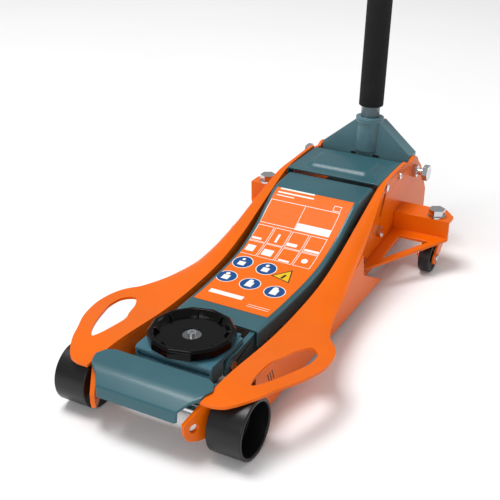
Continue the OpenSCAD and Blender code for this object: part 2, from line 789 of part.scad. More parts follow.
saddle_sides = 12;
dish_z = saddle_z - saddle_dish;
module saddle() {
  r = saddle_d / 2;
  color("black") jack() translate([saddle_x, 0, 0]) difference() {
    union() {
      translate([0, 0, saddle_low]) cylinder(r = r / cos(15), h = saddle_z - saddle_low, $fn = saddle_sides);
      translate([0, 0, saddle_low - stud_l]) cylinder(r = stud_r - run_gap, h = stud_l + eps);
    }
    translate([0, 0, dish_z]) cylinder(r1 = r - 12, r2 = r - 5, h = saddle_dish + 0.01);
    translate([0, 0, dish_z - 3]) cylinder(r = 13, h = 5);
    translate([0, 0, dish_z - 16]) cylinder(r = 3, h = 20);
  }
}

module saddle_washer() {
  color(chrome) jack() translate([saddle_x, 0, dish_z - 3]) difference() {
    cylinder(r = 12.8, h = 2);
    translate([0, 0, -eps]) cylinder(r = 4, h = 5);
  }
}

module saddle_screw() {
  color(chrome) jack() translate([saddle_x, 0, dish_z - 1]) difference() {
    union() {
      cylinder(r = 6, h = 4);
      translate([0, 0, -14]) cylinder(r = 3 - run_gap, h = 15);
    }
    translate([0, 0, 1.5]) cylinder(d = 6 / cos(30), h = 4, $fn = 6);
  }
}

module level_link(side) {
  color(dark) jack() on_side(side) difference() {
    across(link_in, link_in + link_t) bar([anchor_x, anchor_z], [link_pin_x, link_pin_z], 11);
    rod_y(anchor_x, anchor_z, nose_pin_r, link_in - eps, link_in + link_t + eps);
    rod_y(link_pin_x, link_pin_z, nose_pin_r + clear, link_in - eps, link_in + link_t + eps);
  }
}

// ---------- hydraulics ----------

yoke_half = lobe_in - 1;
yoke_back = crank_x - 14;
gland_front = arm_x - 50;
gland_back = gland_front - 14;
cylinder_back = rear_x + 138;
piston_front = gland_back - crank_stroke - 2;
piston_t = 6;
rod_seat = 4;
yoke_h = 16;
module ram() {
  color(chrome) jack() {
    rod_x(piston_front, yoke_back + rod_seat, 0, ram_z, ram_r - run_gap);
    rod_x(piston_front - piston_t, piston_front, 0, ram_z, piston_r - run_gap);
  }
}

module ram_yoke() {
  slide = 3;
  color(dark) jack() difference() {
    box([yoke_back, -yoke_half, ram_z - yoke_h], [crank_x + 14, yoke_half, ram_z + yoke_h]);
    across(-yoke_half - eps, yoke_half + eps)
      bar([crank_x, ram_z - slide], [crank_x, ram_z + slide], crank_pin_r + 0.8);
    rod_x(yoke_back - eps, yoke_back + rod_seat, 0, ram_z, ram_r - run_gap);
  }
}

cylinder_r = piston_r + 5;
module ram_cylinder() {
  color(dark) jack() difference() {
    rod_x(cylinder_back, gland_back, 0, ram_z, cylinder_r);
    rod_x(cylinder_back + 4, gland_back + eps, 0, ram_z, piston_r);
  }
}

module cylinder_gland() {
  color(chrome) jack() difference() {
    rod_x(gland_back, gland_front, 0, ram_z, cylinder_r + 2);
    rod_x(gland_back - eps, gland_front + eps, 0, ram_z, ram_r);
  }
}

tank_r = 26;
tank_front = gland_back - 4;
plug_x = (tank_front + cylinder_back) / 2;
module reservoir() {
  color(orange) jack() difference() {
    rod_x(cylinder_back, tank_front, 0, ram_z, tank_r);
    rod_x(cylinder_back - eps, tank_front - 4, 0, ram_z, tank_r - 3);
    rod_x(tank_front - 5, tank_front + eps, 0, ram_z, cylinder_r);
    translate([plug_x, 0, ram_z]) cylinder(r = 6, h = tank_r + 5);
  }
}

module filler_plug() {
  color("black") jack() translate([plug_x, 0, ram_z + tank_r - 4]) {
    cylinder(r = 6 - run_gap, h = 4);
    translate([0, 0, 4]) cylinder(r = 8, h = 4);
  }
}

plunger_y = 28;
pump_z = handle_pivot_z - pump_r;
body_top = 80;
guide_back = handle_x + pump_r + 10;
guide_front = guide_back + 60;
pump_roller_r = 7;
plunger_back = handle_x + pump_r * sin(handle_lean) + pump_roller_r + clear;
nose_l = 6;
tip_r = 4.2;
stem_r = 5;
stem_low = 50;
module pump_body() {
  floor_z = plate_bottom + base_t;
  color(dark) jack() difference() {
    union() {
      box([rear_x + 46, -48, floor_z], [cylinder_back, 48, body_top]);
      box([guide_back, -plunger_y - 14, body_top - 6], [guide_front, plunger_y + 14, pump_z + 13]);
    }
    for (side = [-1, 1]) rod_x(guide_back - eps, guide_front + eps, side * plunger_y, pump_z, plunger_r);
    translate([handle_x, 0, stem_low]) cylinder(r = stem_r, h = body_top);
    for (side = [-1, 1]) for (p = base_bolt_xy)
      translate([p[0], side * p[1], floor_z - eps]) cylinder(r = 5, h = 14 + eps);
  }
}

module plunger(side) {
  color(chrome) jack() on_side(side) {
    rod_x(plunger_back, plunger_back + nose_l, plunger_y, pump_z, tip_r);
    rod_x(plunger_back + nose_l, guide_back + 24, plunger_y, pump_z, plunger_r - run_gap);
  }
}

module release_valve() {
  color(chrome) jack() translate([handle_x, 0, 0]) {
    translate([0, 0, stem_low + 2]) cylinder(r = stem_r - run_gap, h = handle_pivot_z - 18 - stem_low);
    translate([0, 0, handle_pivot_z - 18]) cylinder(r = 9, h = 8);
    translate([0, 0, body_top + 2]) cylinder(d = 14 / cos(30), h = 6, $fn = 6);
  }
}

// ---------- handle ----------

// Places a piece on the handle's leaning axis, with its pivot at the origin
module on_handle() {
  jack() translate([handle_x, 0, handle_pivot_z]) rotate([0, -handle_lean, 0]) children();
}

ring_top = 80;
tube_low = 24;
socket_r = handle_r + 6;
cheek_out = plate_in - 1;
cheek_t = 5;
module socket_face(from, to) {
  rotate([90, 0, 90]) translate([0, 0, from]) linear_extrude(to - from) children();
}
module handle_socket() {
  top_half = 22;
  base_z = 18;
  apron_z = 2;
  shoulder_z = 27;
  color(teal) on_handle() difference() {
    union() {
      translate([0, 0, tube_low]) cylinder(r = socket_r, h = ring_top - tube_low);
      translate([0, 0, ring_top - 6]) cylinder(r = socket_r + 2, h = 8);
      socket_face(6, 10) polygon([
        [-cheek_out, apron_z], [cheek_out, apron_z], [cheek_out, shoulder_z],
        [top_half, ring_top - 4], [-top_half, ring_top - 4], [-cheek_out, shoulder_z]
      ]);
      for (side = [-1, 1]) on_side(side) {
        socket_face(-22, 10) polygon([
          [cheek_out, shoulder_z], [top_half, ring_top - 4], [top_half - 4, ring_top - 4],
          [top_half - 4, ring_top - 9], [cheek_out - cheek_t, shoulder_z - 2],
          [cheek_out - cheek_t, base_z], [cheek_out, base_z]
        ]);
        across(cheek_out - cheek_t, cheek_out) {
          translate([-22, 0]) square([32, base_z + 2]);
          bar([-6, 0], [0, 0], 16);
        }
        across(plunger_y - 9, plunger_y - 5) bar([0, 4], [0, -pump_r], 9);
        across(plunger_y + 5, plunger_y + 9) bar([0, 4], [0, -pump_r], 9);
        box([-9, plunger_y - 9, 4], [9, plunger_y - 5, base_z + 1]);
        box([-9, plunger_y + 5, 4], [9, plunger_y + 9, base_z + 1]);
      }
      box([-22, -cheek_out, base_z], [10, cheek_out, tube_low]);
    }
    translate([0, 0, -eps]) cylinder(r = handle_r + run_gap, h = ring_top + 10);
    for (side = [-1, 1]) on_side(side) {
      rod_y(0, 0, socket_bolt_r, cheek_out - cheek_t - eps, cheek_out + eps);
      rod_y(0, -pump_r, 3, plunger_y - 10, plunger_y + 10);
    }
  }
}

module socket_rollers() {
  color(chrome) on_handle() for (side = [-1, 1]) on_side(side) {
    rod_y(0, -pump_r, 3 - run_gap, plunger_y - 10, plunger_y + 10);
    rod_y(0, -pump_r, pump_roller_r, plunger_y - 4.6, plunger_y + 4.6);
  }
}

module socket_bolts() {
  color(chrome) jack() for (side = [-1, 1]) on_side(side) {
    rod_y(handle_x, handle_pivot_z, socket_bolt_r - run_gap, cheek_out - cheek_t - 2, plate_out + 19);
    hex_y(handle_x, handle_pivot_z, 19, plate_out, plate_out + 7);
    hex_y(handle_x, handle_pivot_z, 24, plate_out + 18, plate_out + 27);
  }
}

handle_wall = 2.5;
module handle_tube() {
  color(dark) on_handle() difference() {
    translate([0, 0, tube_low + 1]) cylinder(r = handle_r, h = handle_l - grip_l / 2 - tube_low);
    translate([0, 0, tube_low + 14]) cylinder(r = handle_r - handle_wall, h = handle_l);
    translate([0, 0, tube_low]) cylinder(r = 6, h = 16);
  }
}

sleeve_low = 101;
module foam_sleeve() {
  color("black") on_handle() translate([0, 0, sleeve_low]) difference() {
    cylinder(r = sleeve_r, h = sleeve_l);
    translate([0, 0, -eps]) cylinder(r = handle_r, h = sleeve_l + 2 * eps);
  }
}

module handle_grip() {
  color("black") on_handle() translate([0, 0, handle_l - grip_l]) difference() {
    cylinder(r = grip_top_r, h = grip_l);
    translate([0, 0, -eps]) cylinder(r = handle_r, h = grip_l / 2 + 1 + eps);
  }
}

module release_drive() {
  color(chrome) on_handle() {
    sphere(r = 7);
    cylinder(r = 6 - run_gap, h = tube_low + 14);
  }
}

side_plate(1);  // side_plate_left
side_plate(-1);  // side_plate_right
wing(1);  // wing_left
wing(-1);  // wing_right
front_cover();
front_axle();
roller(1);  // roller_left
roller(-1);  // roller_right
axle_rings();
rear_cover();
cover_screws();
base_plate();
base_bolts();
rear_spacer();
pivot_block(1);  // pivot_block_left
pivot_block(-1);  // pivot_block_right
pivot_block_bolts();
arm_shaft();
link_anchors();
caster_bracket(1);  // caster_bracket_left
caster_bracket(-1);  // caster_bracket_right
kingpins();
caster_fork(1);  // caster_fork_left
caster_fork(-1);  // caster_fork_right
caster_axle(1);  // caster_axle_left
caster_axle(-1);  // caster_axle_right
caster_wheel(1);  // caster_wheel_left
caster_wheel(-1);  // caster_wheel_right
arm_side(1);  // arm_side_left
arm_side(-1);  // arm_side_right
arm_cover();
arm_label();
arm_crank();
crank_pin();
nose_pin();
saddle_carrier();
link_pin();
saddle();
saddle_washer();
saddle_screw();
level_link(1);  // level_link_left
level_link(-1);  // level_link_right
ram();
ram_yoke();
ram_cylinder();
cylinder_gland();
reservoir();
filler_plug();
pump_body();
plunger(1);  // plunger_left
plunger(-1);  // plunger_right
release_valve();
handle_socket();
socket_rollers();
socket_bolts();
handle_tube();
foam_sleeve();
handle_grip();
release_drive();
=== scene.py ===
"""Low-profile trolley jack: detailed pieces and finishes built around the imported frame."""

import logging
import math
from dataclasses import dataclass, field
from enum import Enum
from typing import Sequence

import bpy
from mathutils import Matrix, Vector


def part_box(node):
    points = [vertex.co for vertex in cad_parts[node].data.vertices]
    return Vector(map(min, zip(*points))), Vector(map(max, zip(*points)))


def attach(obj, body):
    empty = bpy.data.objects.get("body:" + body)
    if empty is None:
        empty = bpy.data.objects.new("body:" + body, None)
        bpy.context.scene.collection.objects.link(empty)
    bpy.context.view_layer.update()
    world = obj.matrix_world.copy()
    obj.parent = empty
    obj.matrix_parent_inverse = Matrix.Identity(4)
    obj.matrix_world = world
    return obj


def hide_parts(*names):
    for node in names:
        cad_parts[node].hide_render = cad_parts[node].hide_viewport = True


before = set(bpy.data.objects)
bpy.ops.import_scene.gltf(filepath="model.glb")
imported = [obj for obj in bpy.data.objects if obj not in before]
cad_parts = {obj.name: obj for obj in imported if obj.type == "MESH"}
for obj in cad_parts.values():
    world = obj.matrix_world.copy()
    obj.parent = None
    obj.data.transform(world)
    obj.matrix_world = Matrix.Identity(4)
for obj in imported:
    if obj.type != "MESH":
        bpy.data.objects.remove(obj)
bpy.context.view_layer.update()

log = logging.getLogger("trolley_jack")
MM = 0.001
UP = Vector((0, 0, 1))
Colour = tuple[float, float, float]
Curve = Sequence[tuple[float, float]]


# ---------- shader values ----------


class Value:
    """A number or a colour that runs through a material's nodes, with the usual operators."""

    def __init__(self, shader: "Shader", socket: bpy.types.NodeSocket) -> None:
        """Keeps the shader and the output socket that the value comes from."""
        self.shader = shader
        self.socket = socket

    def _maths(self, operation: str, *values: "Value | float") -> "Value":
        """Adds one Math node of the given operation over the values."""
        return self.shader.node("ShaderNodeMath", {"operation": operation}, dict(enumerate(values)))

    def __add__(self, other: "Value | float") -> "Value":
        """This value plus the other."""
        return self._maths("ADD", self, other)

    __radd__ = __add__

    def __sub__(self, other: "Value | float") -> "Value":
        """This value less the other."""
        return self._maths("SUBTRACT", self, other)

    def __rsub__(self, other: float) -> "Value":
        """The other value less this one."""
        return self._maths("SUBTRACT", other, self)

    def __mul__(self, other: "Value | float") -> "Value":
        """This value times the other."""
        return self._maths("MULTIPLY", self, other)

    __rmul__ = __mul__

    def __abs__(self) -> "Value":
        """The size of this value without its sign."""
        return self._maths("ABSOLUTE", self)

    def __lt__(self, other: "Value | float") -> "Value":
        """One where this value is below the other, else zero."""
        return self._maths("LESS_THAN", self, other)

    def __or__(self, other: "Value | float") -> "Value":
        """The larger of the two values, which joins two masks."""
        return self._maths("MAXIMUM", self, other)

    def ramp(self, low: float, high: float, start: float = 0.0, end: float = 1.0) -> "Value":
        """Maps the value smoothly from low..high to start..end.

        Args:
            low: Value that gives start.
            high: Value that gives end.
            start: Result at and below low.
            end: Result at and above high.

        Returns:
            The mapped value.
        """
        inputs = dict(enumerate((self, low, high, start, end)))
        return self.shader.node("ShaderNodeMapRange", {"interpolation_type": "SMOOTHSTEP"}, inputs)


class Shader:
    """One material with a Principled surface, and the one method that adds its other nodes."""

    def __init__(self, name: str) -> None:
        """Makes the material and its surface node.

        Args:
            name: Name of the material.
        """
        self.material = bpy.data.materials.new(name)
        self.material.use_nodes = True
        self.tree = self.material.node_tree
        self.surface = self.tree.nodes["Principled BSDF"]

    def node(self, kind: str, settings: dict | None = None, inputs: dict | None = None,
             output: int | str = 0) -> Value:
        """Adds a node.

        Args:
            kind: The node's type.
            settings: Its properties, set before its inputs.
            inputs: Numbers, colours or values for its sockets, by name or number.
            output: Name or number of the output that is wanted.

        Returns:
            The value of that output.
        """
        node = self.tree.nodes.new(kind)
        for key, setting in (settings or {}).items():
            setattr(node, key, setting)
        for key, value in (inputs or {}).items():
            self.feed(node.inputs[key], value)
        return Value(self, node.outputs[output])

    def feed(self, socket: bpy.types.NodeSocket, value: "Value | float | Sequence[float]") -> None:
        """Links a value to a socket, or sets a plain number or colour on it.

        Args:
            socket: The socket that is fed.
            value: The value, number or colour.
        """
        if isinstance(value, Value):
            self.tree.links.new(value.socket, socket)
        elif socket.type == "RGBA" and len(value) == 3:
            socket.default_value = (*value, 1)
        else:
            socket.default_value = value

    def set(self, **values: "Value | float | Sequence[float]") -> None:
        """Sets the surface's sockets, named with underscores for spaces."""
        for name, value in values.items():
            self.feed(self.surface.inputs[name.replace("_", " ")], value)

    def place(self) -> Value:
        """The point on the object, in metres."""
        return self.node("ShaderNodeTexCoord", output="Object")

    def axes(self) -> tuple[Value, Value, Value]:
        """The point's X, Y and Z as three values."""
        split = self.node("ShaderNodeSeparateXYZ", inputs={0: self.place()})
        return tuple(Value(self, split.socket.node.outputs[i]) for i in range(3))

    def noise(self, scale: float, detail: float = 2.0, stretch: Colour = (1, 1, 1)) -> Value:
        """Smooth noise about a half, with features of 1 / scale metres.

        Args:
            scale: Features for each metre.
            detail: Octaves of finer noise.
            stretch: Factors on the three axes.

        Returns:
            The noise as a number.
        """
        place = self.node("ShaderNodeVectorMath", {"operation": "MULTIPLY"}, {0: self.place(), 1: stretch})
        return self.node("ShaderNodeTexNoise", inputs={"Vector": place, "Scale": scale, "Detail": detail})

    def cells(self, scale: float) -> Value:
        """Distance to the nearest of many scattered points, 1 / scale metres apart."""
        inputs = {"Vector": self.place(), "Scale": scale}
        return self.node("ShaderNodeTexVoronoi", inputs=inputs, output="Distance")

    def mix(self, mask: Value, low: "Colour | Value", high: "Colour | Value") -> Value:
        """Blends two colours by a mask.

        Args:
            mask: Zero for the first colour and one for the second.
            low: The first colour.
            high: The second colour.

        Returns:
            The blended colour.
        """
        return self.node("ShaderNodeMix", {"data_type": "RGBA"}, {0: mask, 6: low, 7: high}, 2)

    def bump(self, height: Value, depth: float, strength: float = 1.0) -> None:
        """Feeds a bump of the given depth in metres to the surface's normal."""
        inputs = {"Strength": strength, "Distance": depth, "Height": height}
        self.set(Normal=self.node("ShaderNodeBump", inputs=inputs))


# ---------- finishes ----------


class Grain(Enum):
    """How a surface is broken up close to."""

    PAINT = "orange peel of sprayed paint"
    CAST = "rough skin of a casting under paint"
    TURNED = "fine marks of turning and plating"
    RUBBER = "matt moulded rubber"
    FOAM = "open cells of foam"


@dataclass(frozen=True)
class Finish:
    """A finish of one colour with its own grain, spots and sheen."""

    name: str
    slot: str
    colour: Colour
    roughness: float
    grain: Grain
    metallic: float = 0.0
    coat: float = 0.0
    mottle: float = 0.06
    gloss: float = 0.5

    def shade(self) -> bpy.types.Material:
        """Builds the material.

        Returns:
            The finished material.
        """
        shader = Shader(self.name)
        broad = shader.noise(9, 3)
        fine = shader.noise(260, 3)
        dark = tuple(c * (1 - self.mottle * 2) for c in self.colour)
        light = tuple(min(1, c * (1 + self.mottle)) for c in self.colour)
        colour = shader.mix(broad.ramp(0.3, 0.7), dark, light)
        rough = self.roughness + (fine - 0.5) * 0.25 * self.roughness + (broad - 0.5) * 0.3 * self.roughness
        shader.set(Base_Color=colour, Roughness=rough, Metallic=self.metallic, Coat_Weight=self.coat)
        shader.set(Coat_Roughness=0.08, Specular_IOR_Level=self.gloss)
        self._grain(shader, fine)
        return shader.material

    def _grain(self, shader: Shader, fine: Value) -> None:
        """Adds the bump that goes with the grain.

        Args:
            shader: The material's nodes.
            fine: Fine noise that the material already has.
        """
        if self.grain is Grain.PAINT:
            shader.bump(shader.noise(420, 1), 0.00004)
        elif self.grain is Grain.CAST:
            shader.bump(shader.noise(700, 4) + fine * 0.6, 0.00022)
        elif self.grain is Grain.TURNED:
            shader.bump(shader.noise(90, 2, (1, 14, 14)), 0.00003)
        elif self.grain is Grain.RUBBER:
            shader.bump(shader.noise(1100, 3), 0.00012)
        else:
            shader.bump(shader.cells(900) + fine * 0.5, 0.0004)


ORANGE = Finish("orange_enamel", "orange_paint", (0.84, 0.142, 0.0005), 0.3, Grain.PAINT, 0, 0.05, 0.03, 0.2)
TEAL = Finish("teal_enamel", "teal_paint", (0.034, 0.112, 0.137), 0.33, Grain.PAINT, 0, 0.1, 0.05, 0.35)
# Lighter copy of the teal paint: painted light on the socket's forward faces, which the lamps leave dark.
SOCKET_PAINTED_LIGHT = Finish("socket_enamel_painted_light", "teal_paint", (0.1, 0.215, 0.255), 0.34, Grain.CAST, 0, 0.1, 0.06, 0.4)
TEAL_CAST = Finish("teal_casting", "teal_paint", (0.05, 0.15, 0.2), 0.42, Grain.CAST, 0, 0.05, 0.08, 0.35)
ROLLER = Finish("roller_enamel", "roller_black", (0.008, 0.008, 0.009), 0.34, Grain.PAINT, 0, 0, 0.15, 0.35)
WHEEL = Finish("wheel_plastic", "wheel_black", (0.009, 0.009, 0.01), 0.42, Grain.RUBBER, 0, 0, 0.15, 0.35)
SADDLE = Finish("saddle_enamel", "saddle_black", (0.002, 0.002, 0.002), 0.16, Grain.PAINT, 0, 0, 0.1, 0.15)
FOAM = Finish("foam_skin", "foam_black", (0.012, 0.012, 0.013), 0.85, Grain.FOAM, 0, 0, 0.2, 0.3)
GRIP = Finish("grip_moulding", "grip_rubber", (0.014, 0.014, 0.015), 0.6, Grain.RUBBER, 0, 0, 0.15, 0.35)
TUBE = Finish("tube_plating", "tube_steel", (0.34, 0.42, 0.45), 0.36, Grain.TURNED, 0.45)
DARK_STEEL = Finish("dark_steel_skin", "dark_steel", (0.05, 0.05, 0.052), 0.42, Grain.CAST, 0.6, 0, 0.12)
ZINC = Finish("bright_plating", "zinc_steel", (0.66, 0.67, 0.69), 0.16, Grain.TURNED, 1.0, 0, 0.05)
LINING = Finish("dish_plating", "zinc_steel", (0.26, 0.27, 0.28), 0.28, Grain.TURNED, 0.9, 0, 0.1)


@dataclass(frozen=True)
class LabelPrint:
    """The printed sheet on the arm: an orange ground with generic boxes, discs and bars. Millimetres."""

    axle_x: float
    ground: Colour = (0.85, 0.15, 0.004)
    ink: Colour = (0.92, 0.9, 0.86)
    blue: Colour = (0.006, 0.07, 0.26)
    yellow: Colour = (0.8, 0.52, 0.01)
    black: Colour = (0.015, 0.015, 0.015)
    line: float = 0.9
    disc_r: float = 15.5
    discs: tuple[tuple[float, float], ...] = ((297, -46), (295, -5), (252, -48), (248, -7), (244, 35))
    box_rows: tuple[tuple[float, float], ...] = ((351, 382), (319, 349))
    box_edges: tuple[tuple[float, float], ...] = ((-64, -37), (-34, -7), (-4, 23), (26, 53))

    def shade(self) -> bpy.types.Material:
        """Builds the printed material.

        Returns:
            The finished material.
        """
        shader = Shader("label_print")
        x, y, _ = shader.axes()
        back = (self.axle_x - x) * 1000.0
        side = y * 1000.0
        white = self._white(back, side)
        blue, shapes = self._discs(back, side)
        triangle, border, sign = self._triangle(back, side)
        colour = shader.mix(white, self.ground, self.ink)
        colour = shader.mix(blue, colour, self.blue)
        colour = shader.mix(shapes, colour, self.ink)
        colour = shader.mix(border, colour, self.black)
        colour = shader.mix(triangle, colour, self.yellow)
        colour = shader.mix(sign, colour, self.black)
        rough = shader.noise(300, 2).ramp(0.2, 0.8, 0.45, 0.55)
        shader.set(Base_Color=colour, Roughness=rough, Specular_IOR_Level=0.2)
        shader.bump(shader.noise(500, 1), 0.00002)
        return shader.material

    @staticmethod
    def block(back: Value, side: Value, backs: tuple[float, float], sides: tuple[float, float]) -> Value:
        """Distance outside a rectangle, negative inside.

        Args:
            back: Distance behind the front axle.
            side: Distance to the left of the middle.
            backs: The rectangle's two ends.
            sides: The rectangle's two sides.

        Returns:
            The distance.
        """
        along = abs(back - sum(backs) / 2) - (backs[1] - backs[0]) / 2
        over = abs(side - sum(sides) / 2) - (sides[1] - sides[0]) / 2
        return along | over

    @staticmethod
    def disc(back: Value, side: Value, centre: tuple[float, float], radius: float) -> Value:
        """Distance outside a disc, negative inside.

        Args:
            back: Distance behind the front axle.
            side: Distance to the left of the middle.
            centre: The disc's centre.
            radius: Its radius.

        Returns:
            The distance.
        """
        gap = (back - centre[0]) * (back - centre[0]) + (side - centre[1]) * (side - centre[1])
        return back.shader.node("ShaderNodeMath", {"operation": "SQRT"}, {0: gap}) - radius

    def _white(self, back: Value, side: Value) -> Value:
        """Mask of the heading bars, the table, the boxes and the bars at the foot.

        Args:
            back: Distance behind the front axle.
            side: Distance to the left of the middle.

        Returns:
            The mask.
        """
        mask = self.block(back, side, (447, 452), (-60, 0)) < 0
        for backs, sides in (((440, 442.5), (-61, 2)), ((435, 436.5), (-61, -30)), ((386, 398), (-4, 53)),
                             ((202, 212), (-50, 4)), ((196, 197), (18, 52)), ((191, 192), (18, 52))):
            mask = mask | (self.block(back, side, backs, sides) < 0)
        for backs, sides in (((387, 427), (-65, 53)), ((387, 427), (-65, -5)), ((429, 437), (40, 52))):
            mask = mask | (abs(self.block(back, side, backs, sides)) < self.line / 2)
        for low, high in self.box_rows:
            for left, right in self.box_edges:
                mask = mask | (abs(self.block(back, side, (low, high), (left, right))) < self.line / 2)
        for backs, sides in (((327, 341), (-60, -46)), ((325, 339), (-31, -14)), ((353, 357), (28, 52)),
                             ((354, 358), (-62, -46)), ((355, 361), (-3, 14)), ((321, 325), (0, 18)),
                             ((356, 372), (-24, -20))):
            mask = mask | (self.block(back, side, backs, sides) < 0)
        return mask | (self.disc(back, side, (333, 39), 5) < 0)

    def _discs(self, back: Value, side: Value) -> tuple[Value, Value]:
        """Masks of the blue discs, and of the white shapes and rims on them.

        Args:
            back: Distance behind the front axle.
            side: Distance to the left of the middle.

        Returns:
            The two masks.
        """
        blue = shapes = None
        for number, centre in enumerate(self.discs):
            gap = self.disc(back, side, centre, self.disc_r)
            rim = abs(gap) < 0.6
            ends = (centre[0] - 8, centre[0] + 2 + number)
            sheet = self.block(back, side, ends, (centre[1] - 6, centre[1] + 5))
            dot = self.disc(back, side, (centre[0] + 8, centre[1] - 2), 2.6 + 0.4 * number)
            white = rim | (sheet < 0) | (dot < 0)
            blue = (gap < 0) if blue is None else blue | (gap < 0)
            shapes = white if shapes is None else shapes | white
        return blue, shapes

    def _triangle(self, back: Value, side: Value) -> tuple[Value, Value, Value]:
        """Masks of the yellow triangle, its black border and the plain bar on it.

        Args:
            back: Distance behind the front axle.
            side: Distance to the left of the middle.

        Returns:
            The three masks.
        """
        lean_back = (back - 288) * 0.97 + (side - 28) * 0.24
        lean_side = (side - 28) * 0.97 - (back - 288) * 0.24
        slope = abs(lean_side) * 0.87 + lean_back * 0.5
        out = (slope - 10) | (-1.0 * lean_back - 10)
        sign = self.block(lean_back, lean_side, (-7, 4), (-2, 2)) < 0
        return out < -1.8, out < 0, sign


# ---------- shapes ----------


def smooth_along(points: Curve, x: float) -> float:
    """Height of a smooth curve through points.

    Args:
        points: Places and heights, in order of place.
        x: Place where the height is wanted.

    Returns:
        The height there.
    """

    def rise(p: tuple[float, float], q: tuple[float, float]) -> float:
        """Slope from one point to the next."""
        return (q[1] - p[1]) / (q[0] - p[0])

    def slope(i: int) -> float:
        """Slope of the curve at a point.

        Args:
            i: The point's number.

        Returns:
            The slope.
        """
        before = rise(points[max(i - 1, 0)], points[max(i - 1, 0) + 1])
        after = rise(points[min(i, len(points) - 2)], points[min(i, len(points) - 2) + 1])
        return (before + after) / 2 if 0 < i < len(points) - 1 else (after if i == 0 else before)

    i = 0
    while i < len(points) - 2 and x > points[i + 1][0]:
        i += 1
    run = points[i + 1][0] - points[i][0]
    t = min(max((x - points[i][0]) / run, 0), 1)
    low, high = points[i][1], points[i + 1][1]
    return (low * (1 + 2 * t) * (1 - t) ** 2 + slope(i) * run * t * (1 - t) ** 2
            + high * (3 - 2 * t) * t * t + slope(i + 1) * run * t * t * (t - 1))


def ease(t: float) -> float:
    """Smooth step from zero to one."""
    t = min(max(t, 0), 1)
    return t * t * (3 - 2 * t)


def spread(low: float, high: float, count: int) -> list[float]:
    """Evenly spaced numbers from low to high, both ends included."""
    return [low + (high - low) * i / count for i in range(count + 1)]


